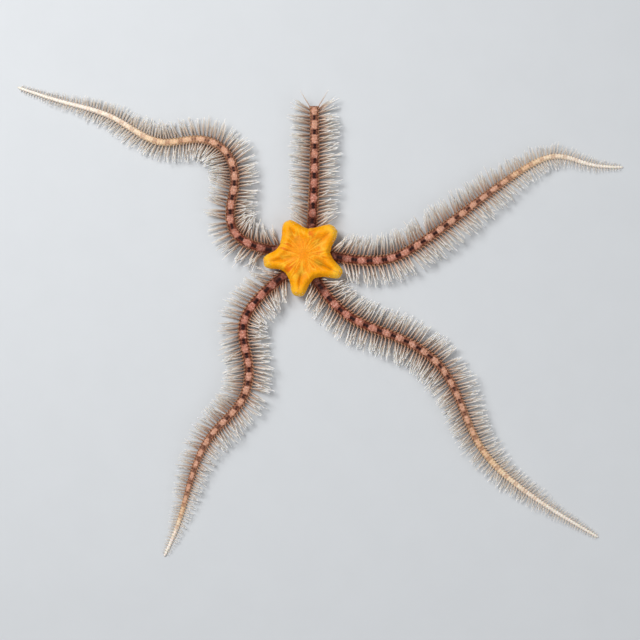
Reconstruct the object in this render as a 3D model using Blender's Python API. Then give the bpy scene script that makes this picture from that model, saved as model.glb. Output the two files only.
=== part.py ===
"""A brittle star lying spread on a flat surface, at life size, in metres with +Z up.

The disc is a puffed five-lobed star, parted by thin cuts into a centre and five lobes. Under it
lie the oral frame and five jaws. Five arms leave from under the notches between the lobes, one
of them broken off short. Each arm is parted into a few lengths, and each length carries its
spines as tapered pegs, joined to the side plates that they grow from.
"""

import math

import bmesh
import bpy
import numpy as np
from mathutils import Vector

MM = 0.001
GAP = 0.3 * MM

# Disc: its middle lies off the origin, which is the middle of the whole outline
DISC_X, DISC_Y = -2.96 * MM, 11.82 * MM
NOTCH_RADIUS = 4.65 * MM
DISC_WAIST = 2.6 * MM
DISC_UNDERSIDE = 2.0 * MM
CENTRE_HEIGHT = 1.65 * MM
DOME_WIDTH = 3.2 * MM
LOBE_HEIGHT = 1.05 * MM
LOBE_DEPTH = 2.3 * MM
CENTRE_APOTHEM = 3.45 * MM
LOBE_FLANK = 1.5 * MM

# Each lobe's axis in degrees, its reach from the disc's middle, how wide it is and how blunt
LOBES = {
    "back_right": (40.1, 7.6 * MM, 0.51, 3.2),
    "back_left": (116.9, 6.9 * MM, 0.46, 3.0),
    "left": (191.3, 7.5 * MM, 0.41, 4.0),
    "front": (261.8, 7.7 * MM, 0.44, 3.6),
    "front_right": (332.0, 7.9 * MM, 0.42, 3.1),
}

# Spokes of the cushion as shares of the way from a lobe's axis to the notch, and its rings
SPOKE_SHARES = (-0.72, -0.5, -0.33, -0.17, 0.0, 0.17, 0.33, 0.5, 0.72, 1.0)
UNDER_RINGS = (0.3, 0.62, 0.82, 0.94)
BACK_RINGS = (0.94, 0.82, 0.62, 0.4, 0.2)

# Mouth parts
FRAME_RADIUS = 3.45 * MM
FRAME_BOTTOM, FRAME_TOP = 0.15 * MM, 1.7 * MM
FRAME_CHAMFER = 0.25 * MM
MOUTH_RADIUS = 1.75 * MM
JAW_TIP_RADIUS, JAW_BASE_RADIUS = 0.35 * MM, 1.4 * MM
JAW_BOTTOM, JAW_TOP = 0.3 * MM, 1.4 * MM
JAW_CHAMFER, JAW_CHAMFER_HEIGHT = 0.12 * MM, 0.3 * MM
JAW_TIP_SPREAD, JAW_BASE_SPREAD = math.radians(30), math.radians(33)

# Arms: width and height at the base and tip, spine reach from the midline, peg spacing
ARM_HALF_WIDTH, TIP_HALF_WIDTH = 1.15 * MM, 0.27 * MM
ARM_HEIGHT, TIP_HEIGHT = 1.55 * MM, 0.55 * MM
TAPER_POWER = 1.3
ARM_SECTION = ((-0.72, 0), (0.72, 0), (1, 0.5), (0.55, 1), (-0.55, 1), (-1, 0.5))
SPINE_REACH, TIP_REACH = 4.7 * MM, 1.2 * MM
FULL_REACH_TO, REACH_POWER = 0.35, 1.3
PEG_WIDTH, PEG_TIP_SHARE = 0.52 * MM, 0.78
SHORTEST_PEG = 0.5 * MM
FIRST_PEG, LAST_PEG_BEFORE_TIP = 1.0 * MM, 1.2 * MM
BASE_PITCH, TIP_PITCH = 2.0 * MM, 1.6 * MM
SPINE_RAKE, SPLAYED_RAKE = math.radians(10), math.radians(50)
INSIDE_BEND_SHARE = 0.8
LOW_LEAN, MIDDLE_LEAN, HIGH_LEAN = (math.radians(a) for a in (7, 25, 45))
LOBE_CLEARANCE = 2.5 * MM
CHANNEL_LENGTH, CHANNEL_MARGIN = 7 * MM, GAP + 0.05 * MM

# Midline of each arm in millimetres from the disc's middle, and the shares of it at which it is parted
ARMS = {
    "back_left": (
        ((-3.8, 0.7), (-5.6, 0.9), (-9.3, 1.8), (-12.5, 4.1), (-13.4, 7.7), (-12.6, 13.2),
         (-14.3, 18.9), (-18.6, 21.1), (-25.7, 20.6), (-34.4, 24.9), (-43.6, 27.9), (-52.3, 30.7)),
        {"base": 0.16, "bend": 0.41, "outer": 0.7, "tip": 1.0},
    ),
    "back": (
        ((1.4, 3.6), (1.9, 13.7), (1.9, 27.2)),
        {"base": 0.5, "stump": 1.0},
    ),
    "right": (
        ((3.9, 0.0), (9.9, -0.9), (15.4, -0.7), (21.9, 2.6), (29.9, 8.4), (39.9, 15.6),
         (46.4, 18.1), (51.9, 16.7), (58.3, 16.1)),
        {"base": 0.22, "middle": 0.48, "outer": 0.74, "tip": 1.0},
    ),
    "front_right": (
        ((1.6, -3.6), (5.2, -8.5), (9.9, -12.1), (17.1, -15.0), (24.9, -20.3), (28.9, -27.8),
         (32.4, -35.2), (40.2, -42.9), (53.8, -51.5)),
        {"base": 0.22, "middle": 0.46, "outer": 0.72, "tip": 1.0},
    ),
    "front_left": (
        ((-2.6, -3.0), (-7.7, -7.3), (-11.0, -12.7), (-10.0, -20.8), (-11.6, -26.9),
         (-16.7, -32.6), (-20.6, -40.9), (-23.2, -49.7), (-25.5, -55.0)),
        {"base": 0.24, "middle": 0.48, "outer": 0.74, "tip": 1.0},
    ),
}
# How long each arm stays stout and long spined before it fades towards its tip
STAMINA = {"back_left": 1.0, "back": 1.0, "right": 1.15, "front_right": 1.1, "front_left": 1.4}
BROKEN_ARM = "back"
WHOLE_ARM_LENGTH = 66 * MM


def clear_scene():
    for obj in list(bpy.data.objects):
        bpy.data.objects.remove(obj)


def make_material(name, colour, roughness):
    material = bpy.data.materials.new(name)
    material.use_nodes = True
    shader = material.node_tree.nodes["Principled BSDF"]
    shader.inputs["Base Color"].default_value = (*colour, 1)
    shader.inputs["Roughness"].default_value = roughness
    shader.inputs["Metallic"].default_value = 0
    return material


def make_object(name, bm, material):
    """One node, placed so that the shape's zero is the disc's middle."""
    mesh = bpy.data.meshes.new(name)
    bmesh.ops.recalc_face_normals(bm, faces=bm.faces)
    bm.to_mesh(mesh)
    bm.free()
    obj = bpy.data.objects.new(name, mesh)
    obj.location = (DISC_X, DISC_Y, 0)
    mesh.materials.append(material)
    bpy.context.scene.collection.objects.link(obj)
    return obj


def loft(bm, rings):
    """Skins the rings of points, closes both ends, and gives each band's faces by side."""
    verts = [[bm.verts.new(point) for point in ring] for ring in rings]
    sides = len(rings[0])
    bands = []
    for lower, upper in zip(verts, verts[1:]):
        band = [
            bm.faces.new((lower[i], lower[(i + 1) % sides], upper[(i + 1) % sides], upper[i]))
            for i in range(sides)
        ]
        bands.append(band)
    bm.faces.new(reversed(verts[0]))
    bm.faces.new(verts[-1])
    return bands


def unit(angle):
    return np.array([math.cos(angle), math.sin(angle)])


# Disc


def lobe_sectors():
    """Each lobe's axis angle and the angles, either side, of the notches that end it."""
    angles = [math.radians(angle) for angle, *_ in LOBES.values()]
    after = angles[1:] + [angles[0] + math.tau]
    notches = [(a + b) / 2 for a, b in zip(angles, after)]
    before = [notches[-1] - math.tau] + notches[:-1]
    return list(zip(LOBES, angles, before, notches))


def outline_radius(name, share):
    """Radius of the star's outline, share being 0 on a lobe's axis and 1 in the notch."""
    _, reach, width, bluntness = LOBES[name]
    return NOTCH_RADIUS + (reach - NOTCH_RADIUS) / (1 + (share / width) ** bluntness)


def disc_cushion():
    """The whole five-lobed cushion, closed, before it is parted."""
    bm = bmesh.new()
    spokes = []
    for name, axis, before, after in lobe_sectors():
        for share in SPOKE_SHARES:
            end = after if share > 0 else before
            spokes.append((axis + abs(share) * (end - axis), outline_radius(name, abs(share))))

    def ring(part, side):
        points = []
        for angle, radius in spokes:
            distance = part * radius
            bulge = math.sqrt(1 - part**4)
            rise = LOBE_HEIGHT + (CENTRE_HEIGHT - LOBE_HEIGHT) * math.exp(-((distance / DOME_WIDTH) ** 2))
            z = DISC_WAIST + bulge * (rise if side > 0 else -LOBE_DEPTH)
            points.append((*(distance * unit(angle)), z))
        return points

    loft(bm, [ring(part, -1) for part in UNDER_RINGS] + [ring(1, 1)] + [ring(part, 1) for part in BACK_RINGS])
    return bm


def keep_side(bm, point, outward):
    """Cuts away what lies beyond the plane and closes the cut."""
    everything = bm.verts[:] + bm.edges[:] + bm.faces[:]
    cut = bmesh.ops.bisect_plane(
        bm, geom=everything, dist=1e-7, plane_co=point, plane_no=outward, clear_outer=True
    )
    edges = [e for e in cut["geom_cut"] if isinstance(e, bmesh.types.BMEdge)]
    bmesh.ops.edgeloop_fill(bm, edges=edges)


def disc_centre():
    bm = disc_cushion()
    keep_side(bm, (0, 0, DISC_UNDERSIDE), (0, 0, -1))
    for _, axis, _, _ in lobe_sectors():
        outward = Vector((*unit(axis), 0))
        keep_side(bm, outward * CENTRE_APOTHEM, outward)
    return bm


def disc_lobe(axis, before, after):
    bm = disc_cushion()
    outward = Vector((*unit(axis), 0))
    keep_side(bm, outward * (CENTRE_APOTHEM + GAP), -outward)
    for notch, turn in ((before, -1), (after, 1)):
        sideways = Vector((*unit(notch + turn * math.pi / 2), 0))
        keep_side(bm, -sideways * GAP / 2, sideways)
    return bm


def make_disc(cutters):
    orange = make_material("orange_disc_skin", (0.91, 0.33, 0.02), 0.5)
    make_object("disc_centre", disc_centre(), orange)
    for name, axis, before, after in lobe_sectors():
        lobe = make_object(f"lobe_{name}", disc_lobe(axis, before, after), orange)
        for cutter in cutters:
            channel = lobe.modifiers.new("arm channel", "BOOLEAN")
            channel.operation = "DIFFERENCE"
            channel.solver = "EXACT"
            channel.object = cutter


# Mouth


def make_oral_frame():
    """A ten-sided collar round the mouth, a little wider towards the arms."""
    bm = bmesh.new()
    corners = []
    for _, axis, _, after in lobe_sectors():
        corners += [(axis, FRAME_RADIUS - GAP), (after, FRAME_RADIUS)]
    profile = (
        (0.0, MOUTH_RADIUS, FRAME_BOTTOM + FRAME_CHAMFER),
        (0.0, MOUTH_RADIUS + FRAME_CHAMFER, FRAME_BOTTOM),
        (1.0, -2 * FRAME_CHAMFER, FRAME_BOTTOM),
        (1.0, 0.0, FRAME_BOTTOM + FRAME_CHAMFER),
        (1.0, 0.0, FRAME_TOP),
        (0.0, MOUTH_RADIUS, FRAME_TOP),
    )
    loops = [
        [bm.verts.new((*((outer * radius + offset) * unit(angle)), z)) for angle, radius in corners]
        for outer, offset, z in profile
    ]
    count = len(corners)
    for near, far in zip(loops, loops[1:] + loops[:1]):
        for i in range(count):
            bm.faces.new((near[i], near[(i + 1) % count], far[(i + 1) % count], far[i]))
    make_object("oral_frame", bm, make_material("white_oral_plates", (0.8, 0.73, 0.64), 0.6))


def make_jaws():
    """Five wedges that point at the mouth's middle, with a straight gap between neighbours."""
    cream = make_material("cream_jaw_plates", (0.72, 0.62, 0.45), 0.5)
    for name, axis, _, _ in lobe_sectors():
        bm = bmesh.new()
        along, across = unit(axis), unit(axis + math.pi / 2)
        rings = []
        for z, inset in ((JAW_BOTTOM, JAW_CHAMFER), (JAW_BOTTOM + JAW_CHAMFER_HEIGHT, 0), (JAW_TOP, 0)):
            near, far = JAW_TIP_RADIUS + inset, JAW_BASE_RADIUS - inset
            half_near = near * math.tan(JAW_TIP_SPREAD) - inset / 2
            half_far = far * math.tan(JAW_BASE_SPREAD) - GAP / 2 - inset / 2
            corners = ((near, -half_near), (far, -half_far), (far, half_far), (near, half_near))
            rings.append([(*(r * along + s * across), z) for r, s in corners])
        loft(bm, rings)
        make_object(f"jaw_{name}", bm, cream)


# Arms


class Midline:
    """A smooth curve through an arm's points, read by distance along it."""

    def __init__(self, points, stamina):
        self.stamina = stamina
        points = np.array(points) * MM
        chords = np.linalg.norm(np.diff(points, axis=0), axis=1)
        count = len(points)
        system, right = np.eye(count), np.zeros((count, 2))
        for i in range(1, count - 1):
            system[i, i - 1 : i + 2] = chords[i - 1], 2 * (chords[i - 1] + chords[i]), chords[i]
            slopes = (points[i + 1] - points[i]) / chords[i] - (points[i] - points[i - 1]) / chords[i - 1]
            right[i] = 6 * slopes
        bends = np.linalg.solve(system, right)
        fine = []
        for i, chord in enumerate(chords):
            for t in np.linspace(0, chord, 40, endpoint=False):
                back = chord - t
                linear = (points[i] / chord - bends[i] * chord / 6) * back
                linear += (points[i + 1] / chord - bends[i + 1] * chord / 6) * t
                fine.append(linear + (bends[i] * back**3 + bends[i + 1] * t**3) / (6 * chord))
        self.places = np.array(fine + [points[-1]])
        steps = np.linalg.norm(np.diff(self.places, axis=0), axis=1)
        self.distances = np.concatenate([[0], np.cumsum(steps)])
        self.length = float(self.distances[-1])

    def place(self, distance):
        return np.array([np.interp(distance, self.distances, self.places[:, k]) for k in (0, 1)])

    def direction(self, distance):
        reach = 0.5 * MM
        low, high = max(distance - reach, 0), min(distance + reach, self.length)
        way = self.place(high) - self.place(low)
        return way / np.linalg.norm(way)

    def turn(self, distance):
        """Signed curvature, positive where the arm bends to its left."""
        reach = 1.5 * MM
        low, high = max(distance - reach, 0), min(distance + reach, self.length)
        before, after = self.direction(low), self.direction(high)
        return (before[0] * after[1] - before[1] * after[0]) / (high - low)


def taper(base, tip, share, stamina):
    return tip + (base - tip) * (1 - share ** (TAPER_POWER * stamina))


def ring_at(midline, distance, share, spread=0.0):
    """Six corners round the arm, anticlockwise as seen from its tip, with a flat foot on the ground."""
    half = taper(ARM_HALF_WIDTH, TIP_HALF_WIDTH, share, midline.stamina) + spread
    height = taper(ARM_HEIGHT, TIP_HEIGHT, share, midline.stamina) + spread
    middle, along = midline.place(distance), midline.direction(distance)
    left = np.array([-along[1], along[0]])
    return [(*(middle - side * half * left), up * height) for side, up in ARM_SECTION]


RIGHT_LOW, RIGHT_HIGH, LEFT_HIGH, LEFT_LOW = 1, 2, 4, 5


def clear_length(root, way, length):
    """How much of a peg keeps clear of the disc's lobes."""
    for part in np.linspace(0.05, 1, 20):
        spot = root[:2] + part * length * way[:2]
        for angle, lobe_reach, *_ in LOBES.values():
            axis = unit(math.radians(angle))
            along = np.clip(spot @ axis, 0, lobe_reach - LOBE_FLANK)
            if np.linalg.norm(spot - along * axis) < LOBE_CLEARANCE:
                return (part - 0.05) * length
    return length


def grow_peg(bm, face, midline, distance, share, lean, rake=SPINE_RAKE):
    """Draws one side face out into a tapered spine peg, shortened on the inside of a bend."""
    root = np.array(face.calc_center_median())
    along = midline.direction(distance)
    out = root[:2] - midline.place(distance)
    out = out - (out @ along) * along
    half = np.linalg.norm(out)
    out = out / half
    fade = max(0.0, (share - FULL_REACH_TO) / (1 - FULL_REACH_TO)) ** (REACH_POWER * midline.stamina)
    reach = SPINE_REACH + (TIP_REACH - SPINE_REACH) * fade
    side = math.copysign(1, along[0] * out[1] - along[1] * out[0])
    inward_turn = midline.turn(distance) * side
    if inward_turn > 0:
        reach = min(reach, INSIDE_BEND_SHARE / inward_turn)
    flat = math.cos(rake) * out + math.sin(rake) * along
    way = np.array([*(math.cos(lean) * flat), math.sin(lean)])
    length = clear_length(root, way, reach - half)
    if length < SHORTEST_PEG:
        return
    tip = bmesh.ops.extrude_discrete_faces(bm, faces=[face])["faces"][0]
    upright = np.cross(np.array([*along, 0]), way)
    upright = upright / np.linalg.norm(upright) * math.copysign(1, upright[2])
    forward = np.array([*along, 0]) - (np.array([*along, 0]) @ way) * way
    forward = forward / np.linalg.norm(forward)
    for vert in tip.verts:
        offset = np.array(vert.co) - root
        ahead = math.copysign(PEG_TIP_SHARE * PEG_WIDTH / 2, offset @ forward)
        above = math.copysign(PEG_TIP_SHARE * PEG_WIDTH / 2, offset @ upright)
        vert.co = root + length * way + ahead * forward + above * upright


def peg_sections(midline):
    """Distances along the arm of its rows of pegs, closer together towards the tip."""
    distances, distance = [], FIRST_PEG
    while distance < midline.length - LAST_PEG_BEFORE_TIP:
        distances.append(distance)
        distance += BASE_PITCH + (TIP_PITCH - BASE_PITCH) * distance / WHOLE_ARM_LENGTH
    return distances


def arm_length_mesh(midline, whole, start, end, sections, row_offset, splay_last):
    """One length of an arm, from its start to its end cut, with its rows of pegs."""
    bm = bmesh.new()
    stops = [start]
    for distance in sections:
        stops += [distance - PEG_WIDTH / 2, distance + PEG_WIDTH / 2]
    stops.append(end)
    bands = loft(bm, [ring_at(midline, s, s / whole) for s in stops])
    for row, distance in enumerate(sections):
        band = bands[2 * row + 1]
        share = distance / whole
        if splay_last and row == len(sections) - 1:
            for side in (RIGHT_LOW, LEFT_LOW):
                grow_peg(bm, band[side], midline, distance, share, LOW_LEAN, SPLAYED_RAKE)
        elif (row + row_offset) % 2:
            for side in (RIGHT_HIGH, LEFT_HIGH):
                grow_peg(bm, band[side], midline, distance, share, MIDDLE_LEAN)
        else:
            for side in (RIGHT_LOW, LEFT_LOW):
                grow_peg(bm, band[side], midline, distance, share, LOW_LEAN)
            for side in (RIGHT_HIGH, LEFT_HIGH):
                grow_peg(bm, band[side], midline, distance, share, HIGH_LEAN)
    return bm


def make_arm(name, points, parts):
    midline = Midline(points, STAMINA[name])
    broken = name == BROKEN_ARM
    whole = WHOLE_ARM_LENGTH if broken else midline.length
    sections = peg_sections(midline)
    colours = {"base": (0.3, 0.09, 0.05), "tip": (0.72, 0.62, 0.48)}
    start, used = 0.0, 0
    for part, share in parts.items():
        last = share == 1
        count = len(sections) if last else sum(s < share * midline.length for s in sections)
        own = sections[used:count]
        end = midline.length if last else (sections[count - 1] + sections[count]) / 2 - GAP / 2
        mesh = arm_length_mesh(midline, whole, start, end, own, used, broken and last)
        colour = colours.get(part, (0.55, 0.23, 0.13))
        make_object(f"arm_{name}_{part}", mesh, make_material(f"arm_{name}_{part}_plates", colour, 0.55))
        start, used = end + GAP, count
    return midline


def channel_cutter(name, midline):
    """A tube a little larger than the arm's base, which cuts its channel in the lobes' undersides."""
    bm = bmesh.new()
    rings = [ring_at(midline, s, 0, CHANNEL_MARGIN) for s in np.linspace(0, CHANNEL_LENGTH, 8)]
    for ring in rings:
        ring[0] = (*ring[0][:2], -1 * MM)
        ring[1] = (*ring[1][:2], -1 * MM)
    loft(bm, rings)
    cutter = make_object(f"channel_{name}", bm, make_material(f"channel_{name}", (0.5, 0.5, 0.5), 0.5))
    cutter.hide_render = True
    cutter.display_type = "WIRE"
    return cutter


def main():
    clear_scene()
    cutters = []
    for name, (points, parts) in ARMS.items():
        midline = make_arm(name, points, parts)
        cutters.append(channel_cutter(name, midline))
    make_disc(cutters)
    make_oral_frame()
    make_jaws()


main()
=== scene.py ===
"""A brittle star at life size: the looks of every piece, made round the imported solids."""

import math

import bpy
import numpy as np
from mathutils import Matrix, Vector


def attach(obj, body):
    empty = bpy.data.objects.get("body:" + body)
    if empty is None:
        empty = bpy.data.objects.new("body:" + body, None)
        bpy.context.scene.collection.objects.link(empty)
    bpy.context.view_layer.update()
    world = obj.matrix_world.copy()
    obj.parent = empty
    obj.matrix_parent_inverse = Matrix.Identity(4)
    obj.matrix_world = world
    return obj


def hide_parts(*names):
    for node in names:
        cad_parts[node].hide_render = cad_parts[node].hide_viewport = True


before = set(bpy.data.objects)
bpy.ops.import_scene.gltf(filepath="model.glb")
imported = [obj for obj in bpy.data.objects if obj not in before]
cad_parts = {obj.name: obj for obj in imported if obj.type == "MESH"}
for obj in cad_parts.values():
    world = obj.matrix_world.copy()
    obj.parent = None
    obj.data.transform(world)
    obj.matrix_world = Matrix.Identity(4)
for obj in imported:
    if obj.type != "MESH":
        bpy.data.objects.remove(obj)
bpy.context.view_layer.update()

bl_info = {
    "name": "Brittle star",
    "version": (1, 0, 0),
    "blender": (4, 5, 0),
    "location": "3D View > Sidebar > Brittle Star",
    "description": "A life-size brittle star: puffed lobed disc, plated arms and fringes of glassy spines",
    "category": "Add Mesh",
}

MM = 0.001

# Where the disc's middle lies in the row's frame
DISC_MIDDLE = np.array([-2.96, 11.82]) * MM

# Each lobe's axis in degrees, its reach in millimetres, how wide, blunt and deeply creased it is
LOBES = {
    "back_right": (40.1, 7.5, 0.5, 3.2, 0.45),
    "back_left": (116.9, 6.8, 0.45, 3.0, 0.3),
    "left": (191.3, 7.4, 0.4, 4.0, 0.5),
    "front": (261.8, 7.6, 0.43, 3.6, 0.7),
    "front_right": (332.0, 7.8, 0.41, 3.1, 1.0),
}

# Midline of each arm in millimetres from the disc's middle
ROUTES = {
    "back_left": (
        (-3.8, 0.7), (-5.6, 0.9), (-9.3, 1.8), (-12.5, 4.1), (-13.4, 7.7), (-12.6, 13.2),
        (-14.3, 18.9), (-18.6, 21.1), (-25.7, 20.6), (-34.4, 24.9), (-43.6, 27.9), (-52.3, 30.7),
    ),
    "back": ((1.4, 3.6), (1.9, 13.7), (1.9, 27.2)),
    "right": (
        (3.9, 0.0), (9.9, -0.9), (15.4, -0.7), (21.9, 2.6), (29.9, 8.4), (39.9, 15.6),
        (46.4, 18.1), (51.9, 16.7), (58.3, 16.1),
    ),
    "front_right": (
        (1.6, -3.6), (5.2, -8.5), (9.9, -12.1), (17.1, -15.0), (24.9, -20.3), (28.9, -27.8),
        (32.4, -35.2), (40.2, -42.9), (53.8, -51.5),
    ),
    "front_left": (
        (-2.6, -3.0), (-7.7, -7.3), (-11.0, -12.7), (-10.0, -20.8), (-11.6, -26.9),
        (-16.7, -32.6), (-20.6, -40.9), (-23.2, -49.7), (-25.5, -55.0),
    ),
}
# How long each arm stays stout, long spined and dark before it fades towards its tip
STAMINA = {"back_left": 1.0, "back": 1.0, "right": 1.15, "front_right": 1.1, "front_left": 1.4}
# How late an arm of stamina 1 thins: at 1 it would thin evenly from base to tip
FADE_POWER = 1.3
BROKEN_ARM = "back"
WHOLE_ARM_LENGTH = 66 * MM


def hex_colour(text):
    """An sRGB hex value as linear red, green, blue and alpha."""
    parts = [int(text[i : i + 2], 16) / 255 for i in (1, 3, 5)]
    linear = [c / 12.92 if c <= 0.04045 else ((c + 0.055) / 1.055) ** 2.4 for c in parts]
    return (*linear, 1.0)


def colour_property(name, description, text):
    return bpy.props.FloatVectorProperty(
        name=name, description=description, subtype="COLOR", size=4, min=0, max=1, default=hex_colour(text)
    )


def length_property(name, description, millimetres):
    return bpy.props.FloatProperty(
        name=name, description=description, unit="LENGTH", subtype="DISTANCE", default=millimetres * MM
    )


def strength_property(name, description, strength):
    return bpy.props.FloatProperty(name=name, description=description, default=strength, min=0)


class DiscLooks(bpy.types.PropertyGroup):
    """Sizes and colours of the disc."""

    notch_radius: length_property("Notch radius", "From the disc's middle to the notch over an arm", 4.6)
    waist: length_property("Waist height", "Height at which the disc is widest", 2.55)
    rise: length_property("Rise", "How far the back rises over the waist", 1.1)
    depth: length_property("Depth", "How far the lobes reach below the waist", 2.2)
    flesh: colour_property("Skin", "Orange of the middle of the back", "#F49300")
    rim: colour_property("Rim", "Yellow orange of the raised rim and the lobes", "#FCA800")
    tip: colour_property("Lobe tips", "Pale yellow of the lobes' tips", "#FFC838")
    streak: colour_property("Streaks", "Red orange of the streaks behind the notches", "#E05E05")
    # This ochre is partly the skin's own dull ochre and partly painted shade in the lobes' hollows and
    # creases
    field: colour_property("Field", "Dull ochre of the field inside each lobe", "#B98A0C")
    under: colour_property("Underside", "Salmon pink of the lobes' undersides", "#CF8A72")
    # This dark brown also serves as a painted shadow along each lobe's crease on the back
    dash: colour_property("Dashes", "Dark brown of the dashes beside the slits", "#3B1A10")


class ArmLooks(bpy.types.PropertyGroup):
    """Sizes and colours of the arms."""

    half_width: length_property("Half width", "Half the arm's width at its base", 0.96)
    tip_half_width: length_property("Tip half width", "Half the arm's width at its tip", 0.21)
    height: length_property("Height", "The arm's height at its base", 1.42)
    tip_height: length_property("Tip height", "The arm's height at its tip", 0.4)
    segment: length_property("Segment", "Length of a segment at the base", 0.71)
    tip_segment: length_property("Tip segment", "Length of a segment at the tip", 0.5)
    back: colour_property("Back plates", "Red brown of the plates along the back", "#80412F")
    salmon: colour_property("Salmon patches", "Salmon of the swollen patches", "#BD7763")
    fleck: colour_property("Flecks", "Pale pink of the flecks on the patches", "#E8BCAC")
    warm: colour_property("Middle arm", "Orange salmon that the patches turn to", "#CF9B7E")
    mark: colour_property("Marks", "Near black maroon of the marks on the midline", "#260706")
    side: colour_property("Side plates", "Rust of the plates that carry the spines", "#B27C5E")
    low: colour_property("Lower side plates", "Tan of the side plates under the arm", "#C79866")
    belly: colour_property("Belly plates", "Cream of the plates under the arm", "#EBD5AF")
    seam: colour_property("Seams", "Brown of the seams beside the belly plates", "#7C4A2A")
    pale: colour_property("Outer arm", "Cream that the arm fades to", "#EED0A2")
    bare: colour_property("Bare plates", "Warm white of the plates at the mouth and the tips", "#F3EBE0")


class SpineLooks(bpy.types.PropertyGroup):
    """Sizes and colours of the spines."""

    reach: length_property("Reach", "From the arm's midline to the tips of the spines", 4.65)
    tip_reach: length_property("Tip reach", "The same at the arm's tip", 0.62)
    width: length_property("Width", "Width of a spine at its middle", 0.16)
    rows: bpy.props.IntProperty(
        name="Spines in a row", description="Spines on each side plate of the inner arm", default=6, min=3
    )
    root: colour_property("Root", "Dark brown of the spines' roots", "#84513B")
    tan: colour_property("Lower shaft", "Tan of the lower shafts", "#C49A82")
    shaft: colour_property("Shaft", "Beige of the shafts", "#DFCFC0")
    tip: colour_property("Tip", "White of the spines' tips", "#FAF7F2")


class MouthLooks(bpy.types.PropertyGroup):
    """Sizes and colours of the mouth."""

    collar: length_property("Collar radius", "Radius of the pale collar round the mouth", 3.45)
    opening: length_property("Opening", "Radius of the opening that the jaws fill", 1.5)
    plate: colour_property("Mouth plates", "Warm white of the granular plates", "#EFE6DA")
    stain: colour_property("Mouth", "Golden brown inside the mouth", "#94701E")


class StageLooks(bpy.types.PropertyGroup):
    """Floor, lights and camera."""

    floor: colour_property("Floor", "Pale grey of the floor", "#CDD0D3")
    view_width: length_property("View width", "Width of the floor that the camera takes in", 117)
    key: strength_property("Key light", "Power of the key light in watts", 1.15)
    fill: strength_property("Fill light", "Power of the fill light in watts", 0.3)
    sky: strength_property("Sky", "Strength of the even light", 0.32)


# Nodes and materials


def add_node(tree, kind, inputs=None, output=0, **settings):
    """Adds a node and gives one output. inputs gives sockets, by name or number, a value or a feed."""
    node = tree.nodes.new(kind)
    for name, value in settings.items():
        setattr(node, name, value)
    for socket, value in (inputs or {}).items():
        if isinstance(value, bpy.types.NodeSocket):
            tree.links.new(value, node.inputs[socket])
        else:
            node.inputs[socket].default_value = value
    return node.outputs[output]


def start_material(name, glow=(1.0, 0.5, 0.25), **fixed):
    """A material with its shader, the fixed values of its sockets and how far each colour seeps."""
    material = bpy.data.materials.new(name)
    material.use_nodes = True
    tree = material.node_tree
    shader = tree.nodes["Principled BSDF"]
    shader.inputs["Subsurface Radius"].default_value = glow
    for socket, value in fixed.items():
        shader.inputs[socket.replace("_", " ")].default_value = value
    return material, tree, shader


def layer(tree, base, *coats):
    """Lays coats over a colour. Each has its reach, as a mask's name or an output, its colour and, at
    times, a part that thins it."""
    colour = base
    for reach, over, *part in coats:
        if isinstance(reach, str):
            reach = add_node(tree, "ShaderNodeAttribute", output="Fac", attribute_name=reach)
        if part:
            reach = add_node(tree, "ShaderNodeMath", {0: reach, 1: part[0]}, operation="MULTIPLY")
        colour = add_node(tree, "ShaderNodeMix", {0: reach, 6: colour, 7: over}, 2, data_type="RGBA")
    return colour


def speckle(tree, size, detail=3.0, low=0.35, high=0.65, most=1.0):
    """Cloudy noise from 0 to most whose lumps are about this size."""
    place = add_node(tree, "ShaderNodeTexCoord", output="Object")
    shape = {"Vector": place, "Scale": 1 / size, "Detail": detail, "Roughness": 0.6}
    cloud = add_node(tree, "ShaderNodeTexNoise", shape, "Fac")
    ends = {"Value": cloud, "From Min": low, "From Max": high, "To Max": most}
    return add_node(tree, "ShaderNodeMapRange", ends)


def finish_material(tree, shader, colour, shades, grain, gloss, depth):
    """Shades the colour by patterns, each from its darkest to its lightest, and grains the surface."""
    for pattern, darkest, lightest in shades:
        ends = {"Value": pattern, "To Min": darkest, "To Max": lightest}
        both = {0: 1.0, 6: colour, 7: add_node(tree, "ShaderNodeMapRange", ends)}
        colour = add_node(tree, "ShaderNodeMix", both, 2, data_type="RGBA", blend_type="MULTIPLY")
    tree.links.new(colour, shader.inputs["Base Color"])
    ends = {"Value": grain, "To Min": gloss[0], "To Max": gloss[1]}
    tree.links.new(add_node(tree, "ShaderNodeMapRange", ends), shader.inputs["Roughness"])
    relief = {"Height": grain, "Distance": depth, "Strength": 0.7}
    tree.links.new(add_node(tree, "ShaderNodeBump", relief), shader.inputs["Normal"])


# Numbers


def soft_noise(points, size, seed=0):
    """Smooth noise between -1 and 1 at each point, its lumps about this size."""
    cells = points / size
    corner = np.floor(cells)
    part = cells - corner
    part = part * part * (3 - 2 * part)
    total = np.zeros(points.shape[:-1])
    for k in range(8):
        step = np.array([k & 1, (k >> 1) & 1, (k >> 2) & 1])
        value = np.sin((corner + step) @ np.array([127.1, 311.7, 74.7]) + 53.3 * seed) * 43758.5453
        weight = np.prod(np.where(step, part, 1 - part), axis=-1)
        total += weight * (2 * (value - np.floor(value)) - 1)
    return total


def ramp(value, start, end):
    """0 up to the start, 1 from the end, smooth between. It falls as the value grows where the start is
    above the end."""
    part = np.clip((value - start) / (end - start), 0, 1)
    return part * part * (3 - 2 * part)


def bell(value, width, power=2):
    """1 at zero, falling away on both sides. A higher power gives it a flatter top."""
    return np.exp(-(np.abs(value / width) ** power))


def quarter_round(value):
    """Rises from 0 to 1 like a quarter of a circle."""
    return np.sqrt(1 - (1 - np.clip(value, 0, 1)) ** 2)


def swell(value, power):
    """The value's power with its sign kept."""
    return np.sign(value) * np.abs(value) ** power


def unit(angle):
    return np.stack([np.cos(angle), np.sin(angle)], axis=-1)


def ripple(value):
    """The signed distance to the nearest whole number."""
    return (value + 0.5) % 1 - 0.5


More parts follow.
